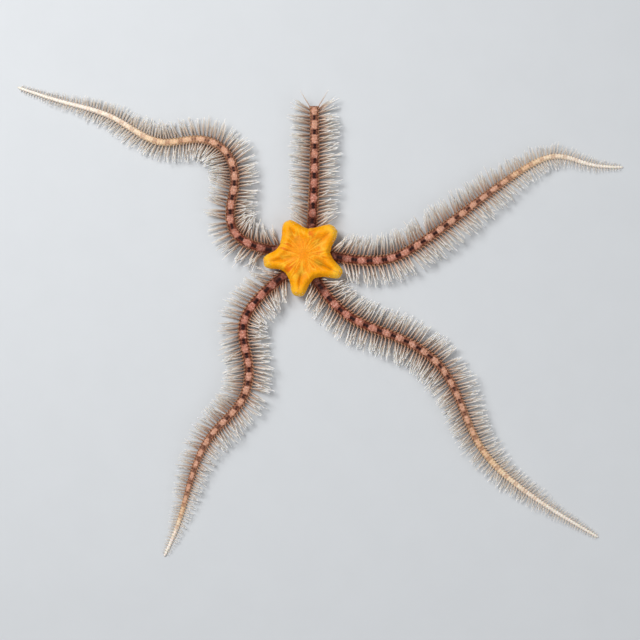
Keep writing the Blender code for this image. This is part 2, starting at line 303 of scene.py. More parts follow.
def solid_points(flat, level):
    """Points in the row's frame from places about the disc's middle and heights."""
    return np.concatenate([flat + DISC_MIDDLE, level[..., None]], axis=-1)


# Meshes


def new_piece(name, points, faces, material, masks=None, bake_map=None):
    """A smooth-shaded mesh object. faces holds one array for each number of corners."""
    mesh = bpy.data.meshes.new(name)
    loops = np.concatenate([f.ravel() for f in faces]).astype(np.int32)
    sizes = np.concatenate([np.full(len(f), f.shape[1]) for f in faces])
    starts = np.concatenate([[0], np.cumsum(sizes)[:-1]]).astype(np.int32)
    points = points.reshape(-1, 3)
    mesh.vertices.add(len(points))
    mesh.vertices.foreach_set("co", points.astype(np.float32).ravel())
    mesh.loops.add(len(loops))
    mesh.loops.foreach_set("vertex_index", loops)
    mesh.polygons.add(len(sizes))
    mesh.polygons.foreach_set("loop_start", starts)
    mesh.update(calc_edges=True)
    mesh.shade_smooth()
    for title, values in (masks or {}).items():
        store = mesh.attributes.new(title, "FLOAT", "POINT")
        store.data.foreach_set("value", np.asarray(values, np.float32).ravel())
    if bake_map is not None:
        store = mesh.uv_layers.new(name="OFBake")
        store.data.foreach_set("uv", bake_map.reshape(-1, 2)[loops].astype(np.float32).ravel())
    piece = bpy.data.objects.new(name, mesh)
    mesh.materials.append(material)
    bpy.context.scene.collection.objects.link(piece)
    return piece


def place_piece(piece, nodes=()):
    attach(piece, "root")
    if nodes:
        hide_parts(*nodes)


def ring_quads(rings, sides, closed=False):
    """Faces between rings of points. A closed run of rings joins its last ring to its first."""
    i, j = np.meshgrid(np.arange(rings if closed else rings - 1), np.arange(sides), indexing="ij")
    low, high = i * sides, (i + 1) % rings * sides
    after = (j + 1) % sides
    return np.stack([low + j, low + after, high + after, high + j], axis=-1).reshape(-1, 4)


def end_caps(rings, sides):
    """The two faces that close a run of rings."""
    side = np.arange(sides)
    return [side[::-1][None], side[None] + (rings - 1) * sides]


# Where the arms and lobes lie


class Midline:
    """A smooth curve through an arm's points, read by distance along it."""

    def __init__(self, points):
        points = np.array(points) * MM
        chords = np.linalg.norm(np.diff(points, axis=0), axis=1)
        count = len(points)
        system, right = np.eye(count), np.zeros((count, 2))
        for i in range(1, count - 1):
            system[i, i - 1 : i + 2] = chords[i - 1], 2 * (chords[i - 1] + chords[i]), chords[i]
            slopes = (points[i + 1] - points[i]) / chords[i] - (points[i] - points[i - 1]) / chords[i - 1]
            right[i] = 6 * slopes
        bends = np.linalg.solve(system, right)
        fine = []
        for i, chord in enumerate(chords):
            t = np.linspace(0, chord, 40, endpoint=False)[:, None]
            back = chord - t
            linear = (points[i] / chord - bends[i] * chord / 6) * back
            linear = linear + (points[i + 1] / chord - bends[i + 1] * chord / 6) * t
            fine.append(linear + (bends[i] * back**3 + bends[i + 1] * t**3) / (6 * chord))
        self.places = np.concatenate([*fine, points[-1:]])
        steps = np.linalg.norm(np.diff(self.places, axis=0), axis=1)
        self.distances = np.concatenate([[0], np.cumsum(steps)])
        self.length = float(self.distances[-1])

    def place(self, distance):
        """Points from the disc's middle. Before the start the line runs straight back."""
        inside = np.clip(distance, 0, self.length)
        spots = np.stack([np.interp(inside, self.distances, self.places[:, k]) for k in (0, 1)], axis=-1)
        start = self.places[1] - self.places[0]
        return spots + np.minimum(distance, 0)[..., None] * start / np.linalg.norm(start)

    def direction(self, distance):
        reach = 0.4 * MM
        way = self.place(np.minimum(distance + reach, self.length)) - self.place(distance - reach)
        return way / np.linalg.norm(way, axis=-1, keepdims=True)


# Turns round the arm, in degrees, of the highest and the lowest spines
ROOT_TURNS = (43, 122)


class Arm:
    """One arm's midline, its taper and the joints between its segments."""

    def __init__(self, name, looks):
        self.name = name
        self.seed = sum(map(ord, name))
        self.midline = Midline(ROUTES[name])
        self.stamina = STAMINA[name]
        self.broken = name == BROKEN_ARM
        self.whole = WHOLE_ARM_LENGTH if self.broken else self.midline.length
        self.looks = looks
        joints = [-0.6 * MM]
        while joints[-1] < self.midline.length:
            share = max(joints[-1], 0) / self.whole
            joints.append(joints[-1] + looks.segment + (looks.tip_segment - looks.segment) * share)
        joints[-1] = self.midline.length
        self.joints = np.array(joints)

    def fade(self, share):
        """From 0 at the base to 1 at the tip, later on a stout arm."""
        return np.clip(share, 0, 1) ** (FADE_POWER * self.stamina)

    def late(self, share):
        """The same for the colours, which hold on longer than the shape."""
        return share ** self.stamina**4

    def taper(self, base, tip, share):
        return tip + (base - tip) * (1 - self.fade(share))

    def spines_in_row(self, share, rows):
        lost = np.interp(share, [0.3, 0.5, 0.7, 0.9], [0, 1, 2, 3])
        return np.round(rows - lost).astype(int)

    def section(self, share):
        """Half width and height of the plain arm."""
        looks = self.looks
        half = self.taper(looks.half_width, looks.tip_half_width, share)
        return half, self.taper(looks.height, looks.tip_height, share)

    def surface(self, distance, turn, outward=0.0):
        """Points on the arm. turn is 0 on the back and grows towards the arm's left."""
        half, height = self.section(distance / self.whole)
        sine, cosine = np.sin(turn), np.cos(turn)
        across = half * swell(sine, 0.85) + outward * sine
        up = 0.5 * height * (1 + swell(cosine, np.where(cosine > 0, 0.95, 0.55))) + outward * cosine
        along = self.midline.direction(distance)
        left = np.stack([-along[..., 1], along[..., 0]], axis=-1)
        foot = (0.04 + 0.22 * ramp(distance, 1.8 * MM, -0.4 * MM)) * MM
        return solid_points(self.midline.place(distance) + across[..., None] * left, np.maximum(up, foot))


def lobe_sectors():
    """Each lobe's name, its axis angle and the angles of the notches before and after it."""
    angles = [math.radians(angle) for angle, *_ in LOBES.values()]
    notches = [(a + b) / 2 for a, b in zip(angles, angles[1:] + [angles[0] + math.tau])]
    return list(zip(LOBES, angles, [notches[-1] - math.tau] + notches[:-1], notches))


def round_the_disc(angles):
    """For each angle the share of the way from a lobe's axis to a notch, and that lobe's numbers."""
    share, numbers = np.zeros_like(angles), np.zeros((4, len(angles)))
    for name, axis, before, after in lobe_sectors():
        turn = (angles - axis + math.pi) % math.tau - math.pi
        near = (turn >= before - axis) & (turn <= after - axis)
        share = np.where(near, np.abs(turn) / np.where(turn > 0, after - axis, axis - before), share)
        numbers = np.where(near, np.array(LOBES[name][1:])[:, None], numbers)
    return share, *numbers


# Disc


def disc_material(looks):
    """Skin stretched over small scales, wet and a little see-through: a soft gloss over granules."""
    material, tree, shader = start_material(
        "wet_skin_over_scales",
        glow=(1.0, 0.45, 0.15),
        IOR=1.38,
        Specular_IOR_Level=0.24,
        Subsurface_Weight=0.2,
        Subsurface_Scale=0.0005,
    )
    colour = layer(
        tree, looks.flesh,
        ("rim", looks.rim), ("field", looks.field), ("streak", looks.streak),
        ("tip", looks.tip), ("under", looks.under), ("dash", looks.dash),
    )
    granules = speckle(tree, 0.13 * MM, detail=2.0, low=0.3, high=0.7)
    shades = [(speckle(tree, 0.34 * MM), 0.87, 1.07), (granules, 0.9, 1.06)]
    finish_material(tree, shader, colour, shades, granules, (0.38, 0.52), 0.03 * MM)
    return material


def arm_distance(flat):
    """Distance from each point to the nearest arm's midline, run back to the disc's middle."""
    best = np.ones(flat.shape[:-1])
    for route in ROUTES.values():
        spots = Midline(route).place(np.linspace(-3 * MM, 9 * MM, 60))
        best = np.minimum(best, np.linalg.norm(flat[..., None, :] - spots, axis=-1).min(axis=-1))
    return best


def outline_distance(flat, edge):
    """Distance from each point to the nearest side of a closed outline."""
    side = np.roll(edge, -1, axis=0) - edge
    rows = []
    for row in flat:
        off = row[:, None] - edge
        part = np.clip((off * side).sum(axis=-1) / (side**2).sum(axis=-1), 0, 1)
        rows.append(np.linalg.norm(off - part[..., None] * side, axis=-1).min(axis=1))
    return np.stack(rows)


class Disc:
    """The disc's outline and the two halves of the cushion that it makes."""

    spokes = 480

    def __init__(self, looks):
        self.looks = looks
        self.angles = np.linspace(0, math.tau, self.spokes, endpoint=False)
        self.share, reach, width, bluntness, self.fold = round_the_disc(self.angles)
        notch = looks.notch_radius
        outline = notch + (reach * MM - notch) / (1 + (self.share / width) ** bluntness)
        ring = np.concatenate([unit(self.angles), np.zeros((self.spokes, 1))], axis=1)
        outline = outline + 0.05 * MM * soft_noise(ring, 0.09)
        self.edge = outline[:, None] * unit(self.angles)

    def spread_out(self, parts):
        """Places at these shares of the way out and, in millimetres, their inset, radius and space."""
        flat = parts[:, None, None] * self.edge[None]
        inset = outline_distance(flat, self.edge)
        radius = np.linalg.norm(flat, axis=-1)
        space = np.concatenate([flat, np.zeros((*radius.shape, 1))], axis=-1)
        return flat, inset / MM, radius / MM, space / MM

    def streaks(self, radius, count, seed):
        """Noise drawn out along the radius, with about this many streaks round the disc."""
        ring = np.broadcast_to(unit(self.angles) * count / math.tau, (*radius.shape, 2))
        return soft_noise(np.concatenate([ring, radius[..., None] / 2.4], axis=-1), 1.0, seed)

    def back(self, parts):
        """Points and masks from the waist up to the middle of the back."""
        share, fold = self.share, self.fold
        flat, inset, radius, space = self.spread_out(parts)
        fine = self.streaks(radius, 46, 3)
        broad = self.streaks(radius, 20, 4)
        warp = soft_noise(space, 1.1, 5)

        pillow = quarter_round(inset / 1.5)
        flat_lobe = (1 - fold) * ramp(radius, 4.4, 5.6)
        rim = ramp(inset, 0, 0.8) * (1 - ramp(inset, 0.95, 2.1) * (1 - flat_lobe))
        crease = bell(share, 0.09) * ramp(radius, 3.2, 4.4) * ramp(radius, 6.6, 5.0)
        valley = bell(share, 0.34) * ramp(radius, 1.3, 2.6) * ramp(radius, 4.6, 3.6)
        shield_side = 0.86 - 0.36 * ramp(radius, 1.4, 3.8)
        shield_slit = 0.55 * bell(share - 1, 0.07) * ramp(radius, 2, 3)
        shield = ramp(share, shield_side, shield_side + 0.12) * (1 - shield_slit)
        shield = shield * ramp(radius, 1.4, 3.0) * ramp(inset, 0.1, 0.7)
        ridges = (0.02 * fine + 0.022 * broad) * ramp(radius, 0.3, 1.6)
        lumps = 0.04 * soft_noise(space, 0.9, 1) + 0.009 * soft_noise(space, 0.22, 2)
        relief = 0.26 * rim + 0.16 * bell(radius, 3.0) + 0.1 * shield + (ridges + lumps) * pillow
        relief = relief - (0.12 + 0.26 * fold) * crease - 0.12 * valley
        height = self.looks.waist + self.looks.rise * pillow + relief * MM

        ribs = bell(fine, 0.15) * ramp(radius, 0.5, 1.4) * ramp(radius, 5.4, 4.2)
        slit = bell(share, 0.028) * ramp(radius, 3.4, 4.2) * ramp(inset, 0.6, 1.6)
        hollow = bell(share, 0.3, 3) * ramp(radius, 1.8, 2.8) * ramp(radius, 4.6, 3.4)
        dullness = 0.3 + 0.7 * ramp(fine + broad, -0.5, 0.5)
        by_notch = bell(share - 1, 0.4) * ramp(inset, 0.1, 0.5) * ramp(radius, 1.6, 3.8)
        flames = by_notch * ramp(fine + 0.5 * broad, -0.1, 0.4)
        blots = bell(share - 0.7, 0.12) * bell(radius - 3.7, 0.45) * ramp(warp + fine, -0.4, 0.4)
        tip = np.clip(ramp(radius, 5.4, 7.2) * (0.75 + 0.3 * warp), 0, 1)
        notch_edge = bell(share - 1, 0.3) * bell(inset - 0.35, 0.25) * ramp(broad, 0, 0.4)
        masks = {
            "rim": np.clip(ramp(inset, 2.0, 0.8) + 0.22 * warp, 0, 1),
            # Painted shade in each lobe's hollow and crease, stronger on the more folded lobes; partly the
            # skin's own dull ochre
            "field": (0.15 + 0.7 * fold) * hollow * dullness + 0.35 * crease * fold,
            "streak": np.clip(0.75 * flames + 0.25 * blots, 0, 1),
            "tip": tip + 0.5 * notch_edge + 0.6 * ribs,
            "under": 0 * radius,
            # A painted shadow: a dark line along each lobe's crease, darker on the more folded lobes
            "dash": 0.4 * fold * slit,
        }
        return solid_points(flat, height), masks

    def underside(self, parts):
        """Points and masks below the waist, tucked up where the arms pass."""
        share = self.share
        flat, inset, radius, space = self.spread_out(parts)
        beside = arm_distance(flat) / MM
        pillow = quarter_round(inset / 1.25)
        clear = ramp(beside, 1.05, 1.6) * ramp(radius, 2.45, 3.15)
        crease = bell(share, 0.05) * ramp(radius, 3.4, 4.2) * ramp(radius, 6.4, 5.4)
        full = 0.86 + 0.14 * np.cos(math.pi / 2 * np.minimum(share / 0.6, 1))
        deep = self.looks.depth / MM * full * clear + 0.75 * (1 - clear)
        deep = deep - 0.02 * soft_noise(space, 0.5, 4)
        sunk = deep * pillow - 0.07 * crease * clear

        wobble = 0.3 * soft_noise(space, 0.8, 6)
        beside_arms = bell(beside - 1.42, 0.12) * ramp(radius, 3.1, 3.3) * ramp(radius, 5.4, 5.0)
        beside_arms = beside_arms * ramp(np.cos(radius * math.tau / 0.74 + wobble), 0, 0.5)
        by_collar = bell(radius - 3.02, 0.11) * ramp(share, 0.6, 0.5)
        by_collar = by_collar * ramp(np.cos((share - 0.28) * math.tau / 0.5 + wobble), 0, 0.5)
        dashes = np.maximum(beside_arms, by_collar) + 0.4 * bell(share, 0.02) * crease
        masks = {
            "rim": 0 * radius + 1,
            "field": 0 * radius,
            "streak": 0.45 * bell(share, 0.08) * clear * ramp(radius, 5.6, 6.6),
            "tip": 0 * radius + 0.25,
            "under": np.maximum(ramp(sunk, 0.5, 1.2), ramp(radius, 5.2, 4.4)) * ramp(radius, 7.0, 5.7),
            "dash": np.clip(dashes, 0, 1),
        }
        return solid_points(flat, self.looks.waist - sunk * MM), masks


def build_disc(looks):
    """The disc's one skin, its rings closer together near the waist."""
    disc = Disc(looks)
    lower = 1 - 0.93 * np.linspace(1, 0.02, 70) ** 1.8
    upper = 1 - 0.985 * np.linspace(0, 1, 90) ** 1.8
    low_points, low_masks = disc.underside(lower)
    back_points, back_masks = disc.back(upper)
    points = np.concatenate([low_points, back_points])
    masks = {key: np.concatenate([low_masks[key], back_masks[key]]) for key in back_masks}
    faces = [ring_quads(len(points), disc.spokes), *end_caps(len(points), disc.spokes)]
    piece = new_piece("disc_skin", points, faces, disc_material(looks), masks)
    place_piece(piece, ["disc_centre", *(f"lobe_{name}" for name in LOBES)])


def build_spinelets(looks, material):
    """Tiny glassy spines that stand on the lobes' edges and tips."""
    rng = np.random.default_rng(11)
    disc = Disc(looks)
    parts = 1 - np.linspace(0.004, 0.25, 24)
    points, _ = disc.back(parts)
    around = np.roll(points, -1, axis=1) - np.roll(points, 1, axis=1)
    inward = np.gradient(points, axis=0)
    normals = np.cross(around, inward)
    normals = normals / np.linalg.norm(normals, axis=-1, keepdims=True)
    weight = bell(disc.share, 0.42, 4)[None] * bell(1 - parts, 0.08)[:, None]
    picks = rng.choice(weight.size, 90, replace=False, p=(weight / weight.sum()).ravel())
    ring, spoke = np.unravel_index(picks, weight.shape)
    count = len(picks)
    ways = normals[ring, spoke] + 0.2 * rng.normal(size=(count, 3))
    lengths = rng.uniform(0.1, 0.2, count) * MM
    spots = np.stack([disc.angles[spoke] / math.tau, parts[ring]], axis=1)
    widths = np.full(count, 0.055 * MM)
    bends = lengths[:, None] * rng.normal(0, 0.05, (count, 3))
    masks = {"pale": 0.9, "tone": rng.random(count)}
    roots = points[ring, spoke]
    add_spines("disc_spinelets", material, roots, ways, lengths, widths, bends, spots, masks)


# Arms


def arm_material(looks):
    """Limy plates under a thin pigmented skin: satin, with pits and grains between the plates."""
    material, tree, shader = start_material(
        "pigmented_limy_plates",
        glow=(1.0, 0.5, 0.3),
        IOR=1.45,
        Specular_IOR_Level=0.15,
        Subsurface_Weight=0.12,
        Subsurface_Scale=0.0003,
    )
    flecks = speckle(tree, 0.2 * MM, detail=2.0, low=0.53, high=0.61, most=0.75)
    specks = speckle(tree, 0.17 * MM, detail=2.0, low=0.54, high=0.6)
    # A darker copy of the back plates' colour: painted shade near the disc, where the lobes hang over the
    # arm, and the browner back between the patches
    painted_shade_and_brown = [0.4 * c for c in looks.back[:3]] + [1]
    colour = layer(
        tree, looks.back,
        ("side", looks.side), ("swell", looks.salmon), ("warm", looks.warm),
        ("swell", looks.fleck, flecks), ("painted_shade_and_brown", painted_shade_and_brown, 0.85), ("speck", looks.mark, specks),
        ("low", looks.low), ("pale", looks.pale), ("belly", looks.belly),
        ("bare", looks.bare), ("seam", looks.seam), ("mark", looks.mark),
    )
    shades = [(speckle(tree, 0.22 * MM), 0.8, 1.14)]
    grain = speckle(tree, 0.05 * MM, detail=2.0)
    finish_material(tree, shader, colour, shades, grain, (0.38, 0.58), 0.015 * MM)
    return material


STEPS_IN_SEGMENT = np.array([0.0, 0.06, 0.14, 0.25, 0.37, 0.49, 0.61, 0.72, 0.82, 0.92])
# Segments from one dark mark on the midline to the next
MARK_EVERY = 4


def arm_relief(arm, distance, run, turn, rows):
    """How far the plates stand out, and the masks of their colours. run counts segments from the base."""
    share = np.clip(distance / arm.whole, 0, 1)
    late = arm.late(share)
    out = distance / MM
    from_middle = np.linalg.norm(arm.midline.place(distance), axis=-1) / MM
    near_disc = ramp(out, 6.0, 2.2)

    # Plates on the back, flanks and belly, and the gutters between flanks and belly
    step = run % 1
    joint = bell(ripple(run), 0.09)
    level, sideways = np.cos(turn), np.sin(turn)
    over = ramp(level, 0.6, 0.76)
    below = ramp(-level, 0.87, 0.92)
    flank = (1 - over) * (1 - below)
    gutter = bell(level + 0.885, 0.03)
    low = ramp(-level, 0.1, 0.5)
    spacing = (ROOT_TURNS[1] - ROOT_TURNS[0]) / (arm.spines_in_row(share, rows) - 1)
    socket = ripple((np.abs(np.degrees(turn)) - ROOT_TURNS[0]) / spacing)

    # Unevenness, and how the back plates overlap
    place = np.stack([run, 1.4 * turn, 0 * run], axis=-1)
    wander = 0.12 * soft_noise(place, 0.8, arm.seed)
    blotch = soft_noise(place, 0.45, arm.seed + 1)
    grit = soft_noise(place, 0.2, arm.seed + 2)
    fray = 0.3 * blotch + 0.2 * grit
    across = sideways + 0.5 * wander
    tile = (run - 0.3 * (1 - np.minimum(across / 0.75, 1) ** 2)) % 1
    shingle = tile**0.6 * ramp(tile, 1, 0.84)

    # Swollen patches between the marks
    beat = (run + wander + MARK_EVERY / 2) % MARK_EVERY - MARK_EVERY / 2 - 0.5
    from_patch = np.hypot(across / 0.72, (MARK_EVERY / 2 - np.abs(beat)) / 1.3) + fray
    puff = ramp(from_patch, 1.25, 0.6)

    flare = ramp(step, 0.05, 0.8) * ramp(step, 1, 0.86)
    flare_out = 0.17 - 0.14 * ramp(-level, -0.2, 0.5) * ramp(out, 3.5, 0.5)
    knobs = bell(socket, 0.24) * bell(step - 0.8, 0.14)
    stand = over * (0.08 * shingle + 0.06 * puff + 0.014 * grit + 0.012 * blotch - 0.02)
    stand = stand + flank * (flare_out * flare + 0.06 * knobs - 0.04 * joint)
    stand = stand + below * (0.035 * np.sin(math.pi * step) ** 0.5 - 0.04 * joint)
    stand = stand - 0.06 * bell(level - 0.68, 0.05) + gutter * (0.07 * bell(step - 0.4, 0.18) - 0.05)

    # Dark marks, which shrink and lighten towards the tip
    from_spot = np.hypot(across / 0.32, (np.abs(beat) - 0.4) / 0.42) / (1 - 0.35 * ramp(late, 0.2, 0.55))
    spots = ramp(from_spot + 0.8 * fray, 1.15, 0.75)
    bar = bell(across, 0.2 + 0.08 * blotch, 4) * bell(beat, 0.55, 6) * ramp(late, 0.45, 0.25)
    freckles = bell(across, 0.3, 4) * joint * (0.35 * ramp(blotch, 0, 0.5) + 0.65 * near_disc)
    plate_line = 0.4 * bell(ripple(tile), 0.06)
    gap = bell(ripple(step - 0.03), 0.19)
    dots = bell(np.abs(across) - 0.8, 0.16, 4) * gap * ramp(level, 0, 0.2) * ramp(blotch, -0.9, -0.3)
    teeth = 0.85 * flank * bell(socket, 0.34) * bell(step - 0.88, 0.13) * ramp(level, -0.8, -0.1)
    fading = ramp(late, 0.64, 0.34)
    on_back = over * np.maximum.reduce([bar, spots, 0.85 * freckles, plate_line])
    mark = np.maximum.reduce([on_back, dots, teeth]) * fading * (1 - 0.5 * ramp(share, 0.3, 0.7))

    # Colours that change along the arm
    plates = over * (1 - 0.3 * joint)
    rusty = bell(across, 0.6, 3) * bell(beat, 0.85, 4) * ramp(late, 0.88, 0.7)
    between = 0.65 - 0.25 * ramp(share, 0.4, 0.8)
    warm = ramp(share**arm.stamina, 0.1, 0.38) * (1 - between * (1 - puff))
    # Painted shade on the arm near the disc, under the overhanging lobes
    shadow = near_disc * (over * (0.9 - 0.4 * puff) + 0.3 * flank + 0.3 * blotch)
    pale = 0.95 * ramp(late + 0.04 * blotch, 0.34, 0.66) * (1 - 0.6 * rusty) * (1 - 0.4 * gap)
    bare = ramp(late + 0.04 * blotch, 0.5, 0.82) * (1 - 0.5 * rusty) * (1 - 0.25 * gap)
    seam = np.clip(gutter * (1 - 0.9 * bell(step - 0.4, 0.16)) + 0.35 * below * joint, 0, 1)
    masks = {
        "side": flank,
        "swell": puff * plates * (1 - 0.5 * near_disc),
        "warm": warm * plates,
        "painted_shade_and_brown": np.clip(shadow + 0.2 * over * (1 - puff) * fading, 0, 1),
        "speck": over * (0.9 - 0.7 * puff) * fading,
        "low": low * (1 - 0.5 * joint) * (0.8 + 0.2 * blotch),
        "pale": np.clip(pale + 0.3 * flank * flare * (1 - near_disc), 0, 1),
        "belly": below,
        "bare": np.clip(bare + low * ramp(from_middle, 6.4, 4.2), 0, 1),
        "seam": seam * (1 - 0.7 * ramp(share, 0.7, 1)) * ramp(from_middle, 3.6, 5.5),
        "mark": mark,
    }
    return stand * arm.taper(1.0, 0.35, share) * MM, masks


def build_arm(arm, material, nodes, rows):
    """One arm's plates as a run of rings, rounded off at the tip and cut blunt where it is broken."""
    sides = 48
    starts, ends = arm.joints[:-1, None], arm.joints[1:, None]
    distance = (starts + (ends - starts) * STEPS_IN_SEGMENT).ravel()
    run = (np.arange(len(starts))[:, None] + STEPS_IN_SEGMENT).ravel()
    turn = np.linspace(math.pi, -math.pi, sides, endpoint=False)
    distance, turn = np.meshgrid(distance, turn, indexing="ij")
    run = np.broadcast_to(run[:, None], distance.shape)
    stand, masks = arm_relief(arm, distance, run, turn, rows)
    left_over = arm.midline.length - distance
    if arm.broken:
        keep = 0.7 + 0.3 * quarter_round(left_over / (0.3 * MM))
    else:
        keep = quarter_round(left_over / (0.8 * MM))
    _, height = arm.section(distance / arm.whole)
    centre = solid_points(arm.midline.place(distance), 0.5 * height + 0.04 * MM)
    points = centre + (arm.surface(distance, turn, stand) - centre) * np.maximum(keep, 0.1)[..., None]
    faces = [ring_quads(len(points), sides), *end_caps(len(points), sides)]
    piece = new_piece(f"arm_{arm.name}_plates", points, faces, material, masks)
    place_piece(piece, nodes)


# Spines


def spine_material(looks):
    """Glassy calcite: light passes through, so the shafts glow, and stain gathers at the roots."""
    material, tree, shader = start_material(
        "glassy_calcite",
        glow=(1.0, 0.8, 0.6),
        IOR=1.55,
        Subsurface_Weight=0.35,
        Subsurface_Scale=0.0003,
    )
    along = add_node(tree, "ShaderNodeAttribute", output="Fac", attribute_name="along")
    up_to_lower_shaft, up_to_shaft, up_to_tip = (
        add_node(tree, "ShaderNodeMapRange", {"Value": along, "From Min": start, "From Max": end})
        for start, end in ((0.03, 0.12), (0.15, 0.6), (0.5, 0.95))
    )
    root = layer(tree, looks.root, ("pale", looks.tan))
    lower_shaft = layer(tree, looks.tan, ("pale", looks.shaft))
    colour = layer(
        tree, root, (up_to_lower_shaft, lower_shaft), (up_to_shaft, looks.shaft), (up_to_tip, looks.tip)
    )
    tone = add_node(tree, "ShaderNodeAttribute", output="Fac", attribute_name="tone")
    grain = speckle(tree, 0.06 * MM, detail=1.0)
    finish_material(tree, shader, colour, [(tone, 0.84, 1.05)], grain, (0.2, 0.4), 0.01 * MM)
    return material


# Rings of a spine as shares of its length, and its girth there: flared at the root, blunt at the tip
SPINE_STEPS = np.array([0, 0.05, 0.12, 0.21, 0.32, 0.43, 0.54, 0.65, 0.76, 0.86, 0.94, 0.98, 1])
SPINE_GIRTHS = np.interp(
    SPINE_STEPS, [0, 0.05, 0.12, 0.5, 0.86, 0.94, 0.98, 1], [1.2, 1.15, 0.92, 0.96, 0.88, 0.86, 0.7, 0.35]
)
SPINE_RINGS, SPINE_SIDES = len(SPINE_STEPS), 6
# Width of each spine's patch on the bake map
PATCH = 0.003


def add_spines(name, material, roots, ways, lengths, widths, bends, spots, masks):
    """One mesh of tapered, thorny, round-ended spines. spots are their places on the bake map."""
    count = len(roots)
    u = SPINE_STEPS
    ways = ways / np.linalg.norm(ways, axis=1, keepdims=True)
    wide = np.cross(np.array([0, 0, 1.0]), ways)
    wide = wide / np.linalg.norm(wide, axis=1, keepdims=True)
    tall = np.cross(ways, wide)
    middle = roots[:, None] + ways[:, None] * (lengths[:, None] * u)[..., None]
    middle = middle + bends[:, None] * (u**2)[None, :, None]
    ring, side = np.arange(SPINE_RINGS), np.arange(SPINE_SIDES)
    thorny = ((ring[:, None] + side[None] // 3) % 2 == 0) & (side[None] % 3 == 0)
    thorn = 1 + 0.3 * thorny * (ramp(u, 0.15, 0.3) * (u < 0.97))[:, None]
    radius = widths[:, None, None] / 2 * (SPINE_GIRTHS[:, None] * thorn)[None]
    turn = (side * math.tau / SPINE_SIDES)[None, :, None]
    offset = np.cos(turn) * wide[:, None] + 0.85 * np.sin(turn) * tall[:, None]
    points = middle[:, :, None] + radius[..., None] * offset[:, None]
    points[..., 2] = np.maximum(points[..., 2], 0.02 * MM)
    each = SPINE_RINGS * SPINE_SIDES
    start = (np.arange(count) * each)[:, None, None]
    faces = [(start + part[None]).reshape(-1, part.shape[1])
             for part in (ring_quads(SPINE_RINGS, SPINE_SIDES), *end_caps(SPINE_RINGS, SPINE_SIDES))]
    patch = np.stack(np.broadcast_arrays(u[:, None] - 0.5, np.abs(side / 3 - 1)[None] - 0.5), axis=-1)
    bake_map = spots[:, None, None] + PATCH * patch[None]
    masks = {key: np.repeat(np.broadcast_to(value, count), each) for key, value in masks.items()}
    masks["along"] = np.broadcast_to(u[None, :, None], (count, SPINE_RINGS, SPINE_SIDES))
    place_piece(new_piece(name, points, faces, material, masks, bake_map))


def clear_of_lobes(roots, ways, lengths, clearance):
    """Shortens the spines that would run into the disc's lobes."""
    parts = np.linspace(0.1, 1, 12)
    kept = lengths.copy()
    flat = roots[:, None, :2] - DISC_MIDDLE + ways[:, None, :2] * (lengths[:, None] * parts)[..., None]
    for angle, reach, *_ in LOBES.values():
        axis = unit(math.radians(angle))
        along = np.clip(flat @ axis, 0, (reach - 1.5) * MM)
        hit = np.linalg.norm(flat - along[..., None] * axis, axis=-1) < clearance
        first = np.where(hit.any(axis=1), parts[np.argmax(hit, axis=1)] - 0.1, 1)
        kept = np.minimum(kept, lengths * first)
    return kept


# From the back down, the ranks of a row's spines, how far they lean up in degrees and their lengths
RANKS = np.array([0, 0.2, 0.4, 0.6, 0.8, 1])
LEANS = np.array([44, 34, 24, 14, 5, -3])
SIZES = np.array([0.84, 0.93, 0.98, 1.0, 0.92, 0.6])


def spine_stands(arm, rows, rng):
    """Of each spine on one flank: its distance along the arm, its rank and the slant of its clump."""
    stands = []
    for start, end in zip(arm.joints[1:-1], arm.joints[2:]):
        distance = start + 0.8 * (end - start)
        clump = rng.normal(0, math.radians(5))
        if distance < arm.midline.length - 0.5 * MM:
            count = arm.spines_in_row(distance / arm.whole, rows)
            stands += [(distance, rank, clump) for rank in np.linspace(0, 1, count)]
    if arm.broken:
        stands.append((arm.midline.length - 0.2 * MM, 0.25, math.radians(20)))
    return np.array(stands).T


